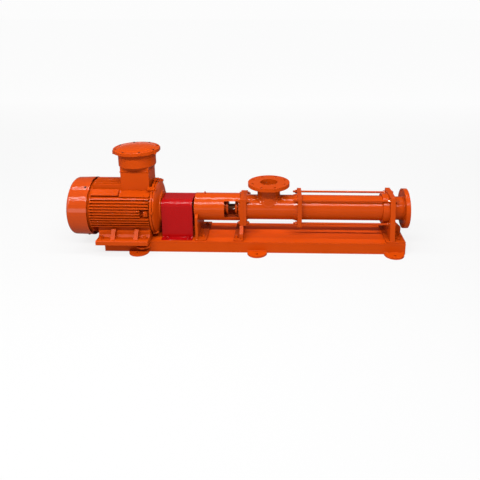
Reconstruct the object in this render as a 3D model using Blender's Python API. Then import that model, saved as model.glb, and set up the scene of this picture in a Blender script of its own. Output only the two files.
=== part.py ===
"""Progressive cavity pump set on a fabricated base.

The set stands on the plane z = 0 and its shaft lies along X at the height AXIS_Z: fan end of the
motor at -X, discharge flange at +X. All sizes are metres. Stations named _X0 and _X1 are the left
and right faces of a piece along the shaft.
"""
import math

import bmesh
import bpy
from mathutils import Matrix, Vector

for old_object in list(bpy.data.objects):
    bpy.data.objects.remove(old_object, do_unlink=True)

# Driving dimensions
GAP = 0.0003
AXIS_Z = 0.242
ROUND = 48
INNER_ROUND = 28

BASE_X0, BASE_X1 = -0.819, 1.003
BASE_HALF_W = 0.140
BASE_H = 0.069
BASE_PLATE_T = 0.010
RAIL_WEB_T = 0.008
RAIL_FLANGE_W = 0.030
CROSS_RIB_STATIONS = (-0.228, 0.412)
CROSS_RIB_T = 0.010

LUG_STATIONS = (-0.606, 0.111, 0.935)
LUG_R = 0.060
LUG_CENTRE_Y = 0.149
LUG_T = 0.012
LUG_HOLE_R = 0.009
LUG_HOLE_Y = 0.178
JACK_LUG_X = -0.580
JACK_LUG_R = 0.046
JACK_LUG_Z = 0.037
JACK_LUG_T = 0.010

COVER_X0, COVER_X1 = -1.027, -0.901
COVER_R = 0.180
COVER_EDGE_R = 0.020
COVER_WALL = 0.003
COVER_DRAFT = 0.003
GRILLE_RINGS = ((0.048, 6), (0.083, 10), (0.118, 14))
GRILLE_SLOT_W = 0.012
GRILLE_SLOT_L = 0.022

FRAME_X0, FRAME_X1 = -0.889, -0.530
CORE_R = 0.132
FIN_T = 0.007
SIDE_FIN_COUNT = 11
SIDE_FIN_LOW = -0.074
SIDE_FIN_PITCH = 0.017
SIDE_FIN_TIP_R = 0.172
SIDE_FIN_X1 = -0.534
GAP_FLOOR_R = 0.159
GAP_FLOOR_X0 = -0.876
GAP_FLOOR_BANDS = ((-0.074, -0.023, -0.560), (-0.023, 0.045, -0.614), (0.045, 0.096, -0.560))
EARTH_PAD_X0 = -0.585
EARTH_PAD_Z0, EARTH_PAD_Z1 = -0.0145, 0.0365
CROWN_FIN_TIP_R = 0.177
FIN_PITCH = 0.0165
CROWN_FIN_COUNT = 9
BELLY_FIN_COUNT = 7
BELLY_FIN_TIP_R = 0.158
SHOULDER_X1 = -0.725

FOOT_X0, FOOT_X1 = -0.850, -0.5372
FOOT_OUT_Y = 0.206
FOOT_T = 0.027
FOOT_RIB_STATIONS = (-0.754, -0.615)
FOOT_RIB_T = 0.026

REAR_SHIELD_X0 = -0.914
REAR_SHIELD_R = 0.160
SHIELD_X1 = -0.474
SHIELD_R = 0.166
SHIELD_EAR_ANGLES = (58, 122, 238, 302)

BOX_X = -0.6287
BOX_HALF_L = 0.0857
BOX_HALF_W = 0.075
SADDLE_HALF_W = 0.131
SADDLE_Z0 = 0.1045
BOX_Z0, BOX_Z1 = 0.130, 0.275
LID_X = -0.6275
NECK_R = 0.112
NECK_Z1 = 0.357
LID_R = 0.139
LID_DOME_R = 0.112
LID_RIM_T = 0.022
LID_RISE = 0.009
LID_EAR_COUNT = 8

GUARD_X0, GUARD_X1 = -0.476, -0.286
GUARD_HALF_W = 0.088
GUARD_TOP = 0.0665
GUARD_SHOULDER_R = 0.036
GUARD_T = 0.003
GUARD_FLANGE_Y = 0.1266

MOTOR_SHAFT_R = 0.021
PUMP_SHAFT_R = 0.017
BEARING_SHAFT_R = 0.025
COUPLING_R = 0.055
COUPLING_X0, COUPLING_XM, COUPLING_X1 = -0.439, -0.382, -0.325
COUPLING_GAP = 0.008

HOUSING_X0, HOUSING_X1 = -0.276, 0.0019
HOUSING_R = 0.0855
HOUSING_WALL = 0.011
WINDOW_X0, WINDOW_X1 = -0.093, -0.0048
WINDOW_Z0, WINDOW_Z1 = -0.046, 0.058
PEDESTAL_X0, PEDESTAL_X1 = -0.266, -0.250
PEDESTAL_HALF_W = 0.124
PEDESTAL_TOP = -0.016
PEDESTAL_FOOT_X1 = -0.199
FOOT_PLATE_T = 0.010
FOOT_PLATE_HALF_W = 0.133

LANTERN_PLATE_X0, LANTERN_PLATE_X1 = 0.0022, 0.0243
LANTERN_PLATE_HALF = 0.085
LANTERN_PLATE_TOP, LANTERN_PLATE_LOW = 0.077, -0.091
LANTERN_LEG_HALF_W = 0.120
LANTERN_FOOT_X0 = -0.033
INNER_COVER_FLANGE_X0, INNER_COVER_FLANGE_X1 = -0.0845, -0.0724
GLAND_X0, GLAND_FLANGE_X1 = -0.0293, -0.0155
GLAND_R = 0.046

CASING_X0, CASING_X1 = 0.0246, 0.380
CASING_FLANGE_T = 0.0185
CASING_R = 0.0766
CASING_WALL = 0.008
FLARE_X0 = 0.324
FLARE_R = 0.086
CASING_PLATE_X0 = 0.354
CASING_PLATE_HALF_W = 0.103
CASING_PLATE_HALF_H = 0.089
INLET_X = 0.1775
INLET_NECK_R = 0.070
INLET_BORE_R = 0.053
INLET_FLANGE_R = 0.128
INLET_FLANGE_T = 0.022
INLET_TOP = 0.1635
INLET_BOLT_CIRCLE_R = 0.106
INLET_HOLE_R = 0.009
FLANGE_HOLE_COUNT = 8

STATOR_X0, STATOR_X1 = 0.3803, 0.9092
STATOR_R = 0.0766
STATOR_WALL = 0.008
COLLAR_X0 = 0.871
COLLAR_R = 0.092
TIE_ROD_R = 0.0065
TIE_ROD_Y = 0.075
TIE_ROD_Z = 0.075
TIE_ROD_X0, TIE_ROD_X1 = 0.332, 0.957
TIE_ROD_HOLE_R = TIE_ROD_R + GAP

END_PLATE_X0, END_PLATE_X1 = 0.9095, 0.939
END_PLATE_HALF_W = 0.092
END_PLATE_TOP = 0.100
END_PLATE_LEG_HALF_W = 0.135
END_FOOT_X0, END_FOOT_X1 = 0.888, 1.0027
END_FOOT_HALF_W = 0.137
END_RIB_X1 = 0.999
END_RIB_T = 0.014
OUTLET_X0, OUTLET_X1 = 1.001, 1.027
OUTLET_NECK_R = 0.072
OUTLET_BORE_R = 0.052
OUTLET_FLANGE_R = 0.122
OUTLET_BOLT_CIRCLE_R = 0.102
OUTLET_HOLE_R = 0.009

ROTOR_R = 0.020
ROTOR_OFFSET = 0.006
ROTOR_PITCH = 0.110
STATOR_CLEARANCE = 0.0009
HELIX_STEPS_PER_PITCH = 12
LINING_PITCHES = 4


def material(name, colour, roughness, metallic=0.0):
    """A Principled material in one plain colour."""
    paint = bpy.data.materials.new(name)
    paint.use_nodes = True
    shader = paint.node_tree.nodes["Principled BSDF"]
    shader.inputs["Base Color"].default_value = (*colour, 1.0)
    shader.inputs["Roughness"].default_value = roughness
    shader.inputs["Metallic"].default_value = metallic
    return paint


ORANGE = (0.80, 0.13, 0.015)
RED = (0.60, 0.008, 0.012)
STEEL = (0.32, 0.31, 0.30)
RUBBER = (0.015, 0.015, 0.015)
BLACK_PLASTIC = (0.03, 0.03, 0.03)


def paint(name):
    return material(name + "_paint", ORANGE, 0.35)


def add_object(name, mesh, surface, smooth_angle=35.0):
    """Link a mesh as one named piece with its own material."""
    piece = bpy.data.objects.new(name, mesh)
    bpy.context.scene.collection.objects.link(piece)
    piece.data.materials.append(surface)
    mesh.shade_smooth()
    mesh.set_sharp_from_angle(angle=math.radians(smooth_angle))
    return piece


def finish_mesh(name, shape):
    """Close a bmesh: weld it, turn its faces outwards and store it as a mesh."""
    bmesh.ops.remove_doubles(shape, verts=shape.verts, dist=1e-6)
    bmesh.ops.recalc_face_normals(shape, faces=shape.faces)
    mesh = bpy.data.meshes.new(name)
    shape.to_mesh(mesh)
    shape.free()
    return mesh


def prism(name, outline, start, end, axis="X"):
    """Extrude a closed outline of two coordinates along an axis, from start to end.

    Along X the outline holds (y, z), along Y it holds (x, z) and along Z it holds (x, y).
    """
    place = {
        "X": lambda a, b, along: (along, a, b),
        "Y": lambda a, b, along: (a, along, b),
        "Z": lambda a, b, along: (a, b, along),
    }[axis]
    shape = bmesh.new()
    corners = [shape.verts.new(place(a, b, start)) for a, b in outline]
    face = shape.faces.new(corners)
    extruded = bmesh.ops.extrude_face_region(shape, geom=[face])
    moved = [part for part in extruded["geom"] if isinstance(part, bmesh.types.BMVert)]
    shift = Vector(place(0.0, 0.0, end)) - Vector(place(0.0, 0.0, start))
    bmesh.ops.translate(shape, verts=moved, vec=shift)
    return finish_mesh(name, shape)


def box(name, low, high):
    """A block between two corners."""
    outline = [(low[0], low[1]), (high[0], low[1]), (high[0], high[1]), (low[0], high[1])]
    return prism(name, outline, low[2], high[2], "Z")


def turned(name, profile, centre=(0.0, 0.0, AXIS_Z), axis="X", closed=False, steps=ROUND):
    """Spin a profile of (along, radius) points round an axis.

    An open profile runs from the axis to the axis and gives a solid; a closed one gives a ring.
    """
    along = Vector((1, 0, 0)) if axis == "X" else Vector((0, 0, 1))
    outwards = Vector((0, 0, 1)) if axis == "X" else Vector((1, 0, 0))
    origin = Vector(centre)
    shape = bmesh.new()
    points = [shape.verts.new(origin + along * place + outwards * radius) for place, radius in profile]
    edges = [shape.edges.new(pair) for pair in zip(points, points[1:])]
    if closed:
        edges.append(shape.edges.new((points[-1], points[0])))
    bmesh.ops.spin(
        shape, geom=points + edges, cent=origin, axis=along,
        angle=math.tau, steps=steps, use_merge=True,
    )
    return finish_mesh(name, shape)


def ring(name, x0, x1, outer, inner, steps=ROUND):
    """A plain tube or washer round the shaft."""
    return turned(name, [(x0, inner), (x0, outer), (x1, outer), (x1, inner)], closed=True, steps=steps)


def rod(name, x0, x1, radius, y=0.0, z=AXIS_Z, steps=ROUND):
    """A solid bar along X."""
    profile = [(x0, 0.0), (x0, radius), (x1, radius), (x1, 0.0)]
    return turned(name, profile, centre=(0.0, y, z), steps=steps)


def cutter(mesh):
    """An object that only cuts: hidden from renders and drawn as wire."""
    tool = bpy.data.objects.new(mesh.name + "_cutter", mesh)
    bpy.context.scene.collection.objects.link(tool)
    tool.hide_render = True
    tool.display_type = "WIRE"
    return tool


def combine(piece, mesh, operation="DIFFERENCE"):
    """Cut a mesh out of a piece, or join it on, with the exact solver."""
    step = piece.modifiers.new(operation.lower(), "BOOLEAN")
    step.operation = operation
    step.solver = "EXACT"
    step.object = cutter(mesh)


def join_shapes(name, meshes):
    """Several separate shapes in one mesh, to be used as one cutter."""
    shape = bmesh.new()
    for mesh in meshes:
        shape.from_mesh(mesh)
    joined = bpy.data.meshes.new(name)
    shape.to_mesh(joined)
    shape.free()
    return joined


def arc(centre, radius, start, end, steps):
    """Points on an arc in degrees, with both ends."""
    points = []
    for step in range(steps + 1):
        angle = math.radians(start + (end - start) * step / steps)
        points.append((centre[0] + radius * math.cos(angle), centre[1] + radius * math.sin(angle)))
    return points


def mirrored(side):
    """+1 at the back, -1 at the front."""
    return 1.0 if side == "back" else -1.0


def bolt_holes_z(name, centre_x, circle_r, hole_r, count, z0, z1, steps=12):
    """Upright drills on a bolt circle that straddles the centre lines."""
    drills = []
    for index in range(count):
        angle = math.tau * (index + 0.5) / count
        place = (centre_x + circle_r * math.cos(angle), circle_r * math.sin(angle), 0.0)
        profile = [(z0, 0.0), (z0, hole_r), (z1, hole_r), (z1, 0.0)]
        drills.append(turned(name, profile, centre=place, axis="Z", steps=steps))
    return join_shapes(name, drills)


def bolt_holes_x(name, circle_r, hole_r, count, x0, x1, steps=12):
    """Drills along the shaft on a bolt circle that straddles the centre lines."""
    drills = []
    for index in range(count):
        angle = math.tau * (index + 0.5) / count
        drills.append(rod(name, x0, x1, hole_r, circle_r * math.cos(angle),
                          AXIS_Z + circle_r * math.sin(angle), steps))
    return join_shapes(name, drills)


def tie_rod_holes(name, x0, x1):
    """Four holes for the tie rods."""
    drills = []
    for y in (-TIE_ROD_Y, TIE_ROD_Y):
        for z in (-TIE_ROD_Z, TIE_ROD_Z):
            drills.append(rod(name, x0, x1, TIE_ROD_HOLE_R, y, AXIS_Z + z, 12))
    return join_shapes(name, drills)


def build_base():
    """Folded top plate on two channel rails, with end plates and cross ribs underneath."""
    plate_z0 = BASE_H - BASE_PLATE_T
    plate = box("base_top_plate", (BASE_X0, -BASE_HALF_W, plate_z0), (BASE_X1, BASE_HALF_W, BASE_H))
    add_object("base_top_plate", plate, paint("base_top_plate"))
    rail_z1 = plate_z0 - GAP
    for side in ("front", "back"):
        hand = mirrored(side)
        web_in = BASE_HALF_W - RAIL_WEB_T
        flange_in = BASE_HALF_W - RAIL_FLANGE_W
        outline = [
            (hand * BASE_HALF_W, 0.0), (hand * flange_in, 0.0), (hand * flange_in, RAIL_WEB_T),
            (hand * web_in, RAIL_WEB_T), (hand * web_in, rail_z1), (hand * BASE_HALF_W, rail_z1),
        ]
        name = "base_" + side + "_rail"
        add_object(name, prism(name, outline, BASE_X0, BASE_X1), paint(name))
    inside_y = BASE_HALF_W - RAIL_WEB_T - GAP
    for name, x0 in (("base_left_end", BASE_X0), ("base_right_end", BASE_X1 - RAIL_WEB_T)):
        low = (x0, -inside_y, RAIL_WEB_T + GAP)
        high = (x0 + RAIL_WEB_T, inside_y, rail_z1)
        add_object(name, box(name, low, high), paint(name))
    for number, station in enumerate(CROSS_RIB_STATIONS, start=1):
        name = "base_cross_rib_" + str(number)
        low = (station - CROSS_RIB_T / 2, -inside_y, RAIL_WEB_T + GAP)
        high = (station + CROSS_RIB_T / 2, inside_y, rail_z1)
        add_object(name, box(name, low, high), paint(name))


def half_disc(radius, centre_y, hand, wall_y, steps=20):
    """Outline of a round lug that ends on the rail's outer face."""
    reach = math.degrees(math.asin((wall_y - centre_y) / radius))
    points = arc((0.0, centre_y), radius, reach, 180.0 - reach, steps)
    return [(x, hand * y) for x, y in points]


def build_lugs():
    """Round anchor lugs at the floor and a round jacking lug under each motor foot."""
    wall_y = BASE_HALF_W + GAP
    for side in ("front", "back"):
        hand = mirrored(side)
        for number, station in enumerate(LUG_STATIONS, start=1):
            name = "anchor_lug_" + side + "_" + str(number)
            outline = [(station + x, y) for x, y in half_disc(LUG_R, LUG_CENTRE_Y, hand, wall_y)]
            lug = add_object(name, prism(name, outline, 0.0, LUG_T, "Z"), paint(name))
            drill = [(-0.01, 0.0), (-0.01, LUG_HOLE_R), (LUG_T + 0.01, LUG_HOLE_R), (LUG_T + 0.01, 0.0)]
            hole_at = (station, hand * LUG_HOLE_Y, 0.0)
            combine(lug, turned(name + "_hole", drill, centre=hole_at, axis="Z", steps=16))
        name = "jacking_lug_" + side
        outline = [
            (JACK_LUG_X + x, y) for x, y in half_disc(JACK_LUG_R, BASE_HALF_W, hand, wall_y)
        ]
        lug = prism(name, outline, JACK_LUG_Z, JACK_LUG_Z + JACK_LUG_T, "Z")
        add_object(name, lug, paint(name))


def core_point(angle):
    return (CORE_R * math.cos(angle), AXIS_Z + CORE_R * math.sin(angle))


def side_fin(hand, z):
    """Corners of one level fin on the side of the frame, from its lower to its upper root."""
    points = []
    for edge, radius in ((-FIN_T / 2, CORE_R), (-FIN_T / 2, SIDE_FIN_TIP_R), (FIN_T / 2, SIDE_FIN_TIP_R),
                         (FIN_T / 2, CORE_R)):
        height = z + edge
        points.append((hand * math.sqrt(radius ** 2 - height ** 2), AXIS_Z + height))
    return points


def gap_floor(hand, z_low, z_high, steps=4):
    """Section of the raised floor of the gaps, from the middle of one side fin to that of another."""
    outline = []
    for radius, first, last in ((GAP_FLOOR_R, z_low, z_high), (CORE_R - 0.007, z_high, z_low)):
        start, end = math.asin(first / radius), math.asin(last / radius)
        for step in range(steps + 1):
            angle = start + (end - start) * step / steps
            outline.append((hand * radius * math.cos(angle), AXIS_Z + radius * math.sin(angle)))
    return outline


def upright_fin(up, y, tip_r):
    """Corners of one upright fin on the crown or belly of the frame."""
    points = []
    for edge, radius in ((-FIN_T / 2, CORE_R), (-FIN_T / 2, tip_r), (FIN_T / 2, tip_r),
                         (FIN_T / 2, CORE_R)):
        place = y + edge
        points.append((place, AXIS_Z + up * math.sqrt(radius ** 2 - place ** 2)))
    return points


def frame_outline():
    """Section of the finned frame, anticlockwise from its lowest fin on the +Y side."""
    sides = [SIDE_FIN_LOW + SIDE_FIN_PITCH * step for step in range(SIDE_FIN_COUNT)]
    crown = [FIN_PITCH * (step - (CROWN_FIN_COUNT - 1) / 2) for step in range(CROWN_FIN_COUNT)]
    belly = [FIN_PITCH * (step - (BELLY_FIN_COUNT - 1) / 2) for step in range(BELLY_FIN_COUNT)]
    shoulder = [(0.112, 0.1045), (0.108, 0.108), (0.072, 0.131)]
    keel = (-60.0, -53.0, -46.0)
    outline = [core_point(math.radians(angle)) for angle in keel]
    for z in sides:
        outline += side_fin(1.0, z)
    outline += [(y, AXIS_Z + z) for y, z in shoulder]
    for y in reversed(crown):
        outline += reversed(upright_fin(1.0, y, CROWN_FIN_TIP_R))
    outline += [(-y, AXIS_Z + z) for y, z in reversed(shoulder)]
    for z in reversed(sides):
        outline += reversed(side_fin(-1.0, z))
    outline += [core_point(math.radians(180.0 - angle)) for angle in reversed(keel)]
    for y in belly:
        outline += upright_fin(-1.0, y, BELLY_FIN_TIP_R)
    return outline


def build_motor_frame():
    """Cast frame with level fins at the sides, upright fins above and below, and the box saddle."""
    frame = add_object("motor_frame", prism("motor_frame", frame_outline(), FRAME_X0, FRAME_X1),
                       paint("motor_frame"), 25.0)
    for hand in (-1.0, 1.0):
        pad = [(hand * 0.080, AXIS_Z + 0.105), (hand * 0.120, AXIS_Z + 0.109),
               (hand * 0.120, AXIS_Z + 0.115), (hand * 0.080, AXIS_Z + 0.138)]
        combine(frame, prism("shoulder_pad", pad, FRAME_X0, SHOULDER_X1), "UNION")
        for z_low, z_high, x1 in GAP_FLOOR_BANDS:
            raised_floor = prism("gap_floor", gap_floor(hand, z_low, z_high), GAP_FLOOR_X0, x1)
            combine(frame, raised_floor, "UNION")
        beyond = [(hand * 0.138, AXIS_Z - 0.080), (hand * 0.200, AXIS_Z - 0.080),
                  (hand * 0.200, AXIS_Z + 0.1015), (hand * 0.128, AXIS_Z + 0.1015)]
        combine(frame, prism("fin_ends", beyond, SIDE_FIN_X1, FRAME_X1 + 0.01))
        pocket = [(hand * 0.138, AXIS_Z + EARTH_PAD_Z0), (hand * 0.200, AXIS_Z + EARTH_PAD_Z0),
                  (hand * 0.200, AXIS_Z + EARTH_PAD_Z1), (hand * 0.138, AXIS_Z + EARTH_PAD_Z1)]
        combine(frame, prism("earth_pocket", pocket, EARTH_PAD_X0, SIDE_FIN_X1 + 0.002))
        at_pad = [(hand * 0.120, AXIS_Z - 0.004), (hand * 0.168, AXIS_Z - 0.004),
                  (hand * 0.168, AXIS_Z + 0.026), (hand * 0.120, AXIS_Z + 0.026)]
        combine(frame, prism("earth_pad", at_pad, EARTH_PAD_X0 + 0.021, EARTH_PAD_X0 + 0.045), "UNION")
    saddle = [
        (-SADDLE_HALF_W, SADDLE_Z0), (SADDLE_HALF_W, SADDLE_Z0), (SADDLE_HALF_W, SADDLE_Z0 + 0.003),
        (BOX_HALF_W + 0.004, BOX_Z0 - GAP), (-BOX_HALF_W - 0.004, BOX_Z0 - GAP),
        (-SADDLE_HALF_W, SADDLE_Z0 + 0.003),
    ]
    for angle in SHIELD_EAR_ANGLES[:2]:
        ear = box("frame_ear", (FRAME_X1 - 0.020, 0.125, -0.012), (FRAME_X1, 0.174, 0.012))
        ear.transform(Matrix.Translation((0.0, 0.0, AXIS_Z)) @ Matrix.Rotation(math.radians(angle), 4, "X"))
        combine(frame, ear, "UNION")
    above_box = [
        (-BOX_HALF_W - 0.004, BOX_Z0 - GAP), (BOX_HALF_W + 0.004, BOX_Z0 - GAP),
        (BOX_HALF_W + 0.004, CROWN_FIN_TIP_R + 0.02), (-BOX_HALF_W - 0.004, CROWN_FIN_TIP_R + 0.02),
    ]
    x0, x1 = BOX_X - BOX_HALF_L, BOX_X + BOX_HALF_L
    raised = [(y, AXIS_Z + z) for y, z in saddle]
    removed = [(y, AXIS_Z + z) for y, z in above_box]
    combine(frame, prism("saddle", raised, x0, FRAME_X1 - 0.004), "UNION")
    combine(frame, prism("box_seat", removed, x0 - 0.001, FRAME_X1 + 0.01))


def build_motor_feet():
    """Two cast feet that run under the frame, each with a stepped wall and two slanting ribs."""
    low = BASE_H + GAP
    top = low + FOOT_T
    seat_r = CORE_R + GAP
    for side in ("front", "back"):
        hand = mirrored(side)
        seat = arc((0.0, AXIS_Z), seat_r, -48.0, -41.0, 3)
        profile = [
            (0.085, low), (FOOT_OUT_Y, low), (FOOT_OUT_Y, top - 0.004), (FOOT_OUT_Y - 0.004, top),
            (0.150, top), (0.138, top + 0.014), (0.138, top + 0.032), (0.128, top + 0.036),
            (0.128, AXIS_Z - 0.0865),
        ]
        outline = [(hand * y, z) for y, z in profile]
        outline += [(hand * y, z) for y, z in reversed(seat)]
        name = "motor_foot_" + side
        foot = add_object(name, prism(name, outline, FOOT_X0, FOOT_X1), paint(name))
        rib = [
            (hand * 0.120, top - 0.002), (hand * 0.190, top - 0.002), (hand * 0.186, top + 0.004),
            (hand * 0.150, AXIS_Z - 0.094), (hand * 0.120, AXIS_Z - 0.094),
        ]
        for station in FOOT_RIB_STATIONS:
            bar = prism("rib", rib, station - FOOT_RIB_T / 2, station + FOOT_RIB_T / 2)
            combine(foot, bar, "UNION")


def build_shields():
    """Rear shield that carries the fan cover, and the bell of the drive end."""
    rear = add_object(
        "rear_end_shield",
        ring("rear_end_shield", REAR_SHIELD_X0, FRAME_X0 - GAP, REAR_SHIELD_R, MOTOR_SHAFT_R + 0.0008),
        paint("rear_end_shield"))
    spider_half = COVER_R - COVER_WALL - 0.0012
    for angle in SHIELD_EAR_ANGLES:
        ear = box("rear_ear", (REAR_SHIELD_X0, 0.140, -0.012), (REAR_SHIELD_X0 + 0.008, spider_half, 0.012))
        ear.transform(Matrix.Translation((0.0, 0.0, AXIS_Z)) @ Matrix.Rotation(math.radians(angle), 4, "X"))
        combine(rear, ear, "UNION")
    x0 = FRAME_X1 + GAP
    bell = [
        (x0, MOTOR_SHAFT_R + 0.0008), (x0, SHIELD_R), (x0 + 0.012, SHIELD_R), (x0 + 0.013, 0.158),
        (x0 + 0.016, 0.158), (x0 + 0.017, 0.163), (x0 + 0.024, 0.163), (x0 + 0.031, 0.149),
        (x0 + 0.037, 0.131), (x0 + 0.041, 0.112), (x0 + 0.044, 0.100), (-0.4785, 0.097),
        (-0.4785, 0.056), (SHIELD_X1, 0.056), (SHIELD_X1, MOTOR_SHAFT_R + 0.0008),
    ]
    shield = add_object("drive_end_shield", turned("drive_end_shield", bell, closed=True),
                        paint("drive_end_shield"))
    for angle in SHIELD_EAR_ANGLES:
        ear = box("drive_ear", (x0, 0.130, -0.012), (x0 + 0.022, 0.174, 0.012))
        ear.transform(Matrix.Translation((0.0, 0.0, AXIS_Z)) @ Matrix.Rotation(math.radians(angle), 4, "X"))
        combine(shield, ear, "UNION")


def build_fan_cover():
    """Pressed cover, open to the frame, with rings of slots in its end."""
    inner_r = COVER_R - COVER_WALL
    bend = (COVER_X0 + COVER_EDGE_R, COVER_R - COVER_DRAFT - COVER_EDGE_R)
    profile = [(COVER_X0, 0.0)] + arc(bend, COVER_EDGE_R, 180, 90, 5)
    profile += [(COVER_X1, COVER_R), (COVER_X1, inner_r)]
    profile += arc(bend, COVER_EDGE_R - COVER_WALL, 90, 180, 5) + [(COVER_X0 + COVER_WALL, 0.0)]
    cover = add_object("fan_cover", turned("fan_cover", profile), paint("fan_cover"))
    slots = []
    for radius, count in GRILLE_RINGS:
        for index in range(count):
            slot = box("slot", (COVER_X0 - 0.01, radius - GRILLE_SLOT_L / 2, -GRILLE_SLOT_W / 2),
                       (COVER_X0 + 0.012, radius + GRILLE_SLOT_L / 2, GRILLE_SLOT_W / 2))
            turn = Matrix.Rotation(math.tau * index / count, 4, "X")
            slot.transform(Matrix.Translation((0.0, 0.0, AXIS_Z)) @ turn)
            slots.append(slot)
    combine(cover, join_shapes("grille_slots", slots))


def build_terminal_box():
    """Square box body, round neck above it and a domed lid with eight bolt ears."""
    seat_z = AXIS_Z + BOX_Z0 + GAP
    low = (BOX_X - BOX_HALF_L, -BOX_HALF_W, seat_z)
    high = (BOX_X + BOX_HALF_L, BOX_HALF_W, AXIS_Z + BOX_Z1)
    add_object("terminal_box", box("terminal_box", low, high), paint("terminal_box"))
    at_box = (LID_X, 0.0, AXIS_Z)
    neck = [(BOX_Z1 + GAP, 0.0), (BOX_Z1 + GAP, NECK_R), (NECK_Z1, NECK_R), (NECK_Z1, 0.0)]
    add_object("terminal_box_neck", turned("terminal_box_neck", neck, at_box, "Z"),
               paint("terminal_box_neck"))
    z0 = NECK_Z1 + GAP
    rim_z1 = z0 + LID_RIM_T
    dome = [
        (rim_z1 + LID_RISE * math.sin(math.radians(angle)), LID_DOME_R * math.cos(math.radians(angle)))
        for angle in (15, 35, 55, 75)
    ]
    profile = [(z0, 0.0), (z0, LID_R), (rim_z1 - 0.003, LID_R), (rim_z1 - 0.001, LID_R - 0.003),
               (rim_z1, LID_DOME_R + 0.001)]
    profile += dome + [(rim_z1 + LID_RISE, 0.0)]
    lid = add_object("terminal_box_lid", turned("terminal_box_lid", profile, at_box, "Z"),
                     paint("terminal_box_lid"))
    ears = []
    for index in range(LID_EAR_COUNT):
        angle = math.tau * (index + 0.5) / LID_EAR_COUNT
        place = (LID_X + (LID_R - 0.006) * math.cos(angle), (LID_R - 0.006) * math.sin(angle), AXIS_Z)
        low = z0 - 0.006 if abs(math.cos(angle)) > 0.9 else z0 + 0.002
        ear = [(low, 0.0), (low, 0.010), (rim_z1 - 0.007, 0.010), (rim_z1 - 0.007, 0.0)]
        ears.append(turned("lid_ear", ear, place, "Z", steps=10))
    combine(lid, join_shapes("lid_ears", ears), "UNION")


def build_lifting_lug():
    """Eye plate on the crown of the drive end shield."""
    plate = [
        (-0.5290, SHIELD_R + GAP), (-0.5040, SHIELD_R + GAP), (-0.4985, 0.1600), (-0.4950, 0.1560),
        (-0.4920, 0.1600), (-0.4945, 0.1760), (-0.5040, 0.1830), (-0.5240, 0.1830), (-0.5290, 0.1800),
    ]
    outline = [(x, AXIS_Z + z) for x, z in plate]
    lug = add_object("lifting_lug", prism("lifting_lug", outline, -0.009, 0.009, "Y"), paint("lifting_lug"))
    eye = arc((-0.5050, AXIS_Z + 0.1745), 0.0058, 0.0, 337.5, 15)
    combine(lug, prism("lifting_eye", eye, -0.02, 0.02, "Y"))


def guard_outline(inset):
    """Half of the guard's section on the +Y side, from the crown down to the foot."""
    half = GUARD_HALF_W - inset
    crown = AXIS_Z + GUARD_TOP - inset
    radius = GUARD_SHOULDER_R - inset
    points = arc((half - radius, crown - radius), radius, 90.0, 0.0, 6)
    return points


def build_guard():
    """Bent sheet over the coupling, open at both ends, with a bolted flange along each side."""
    foot_z = BASE_H + GAP
    outer = guard_outline(0.0) + [(GUARD_HALF_W, foot_z + GUARD_T), (GUARD_FLANGE_Y, foot_z + GUARD_T)]
    inner = guard_outline(GUARD_T) + [(GUARD_HALF_W - GUARD_T, foot_z)]
    right = outer + [(GUARD_FLANGE_Y, foot_z)] + list(reversed(inner))
    outline = right + [(-y, z) for y, z in reversed(right)]
    guard = prism("coupling_guard", outline, GUARD_X0, GUARD_X1)
    add_object("coupling_guard", guard, material("coupling_guard_paint", RED, 0.3))


def build_bearing_housing():
    """Tube with its bearing end closed by covers and two windows at the gland, on a pedestal."""
    inner = HOUSING_R - HOUSING_WALL
    housing = add_object("bearing_housing", ring("bearing_housing", HOUSING_X0, HOUSING_X1, HOUSING_R, inner),
                         paint("bearing_housing"))
    low = (WINDOW_X0, -0.15, AXIS_Z + WINDOW_Z0)
    high = (WINDOW_X1, 0.15, AXIS_Z + WINDOW_Z1)
    combine(housing, box("windows", low, high))
    cover_r = inner - GAP
    bore_out = BEARING_SHAFT_R + 0.0004
    add_object("bearing_cover_outer",
               ring("bearing_cover_outer", HOUSING_X0 + 0.004, HOUSING_X0 + 0.030, cover_r, bore_out,
                    INNER_ROUND),
               paint("bearing_cover_outer"))
    inner_cover = [
        (WINDOW_X0 - 0.030, bore_out), (WINDOW_X0 - 0.030, cover_r), (WINDOW_X0 - 0.004, cover_r),
        (WINDOW_X0 - 0.004, 0.033), (INNER_COVER_FLANGE_X0, 0.033), (INNER_COVER_FLANGE_X0, GLAND_R),
        (INNER_COVER_FLANGE_X1, GLAND_R), (INNER_COVER_FLANGE_X1, bore_out),
    ]
    add_object("bearing_cover_inner",
               turned("bearing_cover_inner", inner_cover, closed=True, steps=INNER_ROUND),
               paint("bearing_cover_inner"))
    plate_r = HOUSING_R + GAP
    foot_z = BASE_H + GAP
    plate_z = foot_z + FOOT_PLATE_T
    span = math.degrees(math.asin(-PEDESTAL_TOP / plate_r))
    saddle = arc((0.0, AXIS_Z), plate_r, 180.0 + span, 360.0 - span, 24)
    outline = [(PEDESTAL_HALF_W, plate_z - 0.002), (PEDESTAL_HALF_W, AXIS_Z + PEDESTAL_TOP - 0.012),
               (PEDESTAL_HALF_W - 0.012, AXIS_Z + PEDESTAL_TOP)]
    outline += list(reversed(saddle))
    outline += [(-PEDESTAL_HALF_W + 0.012, AXIS_Z + PEDESTAL_TOP),
                (-PEDESTAL_HALF_W, AXIS_Z + PEDESTAL_TOP - 0.012), (-PEDESTAL_HALF_W, plate_z - 0.002)]
    pedestal = add_object("bearing_pedestal", prism("bearing_pedestal", outline, PEDESTAL_X0, PEDESTAL_X1),
                          paint("bearing_pedestal"))
    foot = box("pedestal_foot", (PEDESTAL_X0, -FOOT_PLATE_HALF_W, foot_z),
               (PEDESTAL_FOOT_X1, FOOT_PLATE_HALF_W, plate_z))
    combine(pedestal, foot, "UNION")


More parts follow.
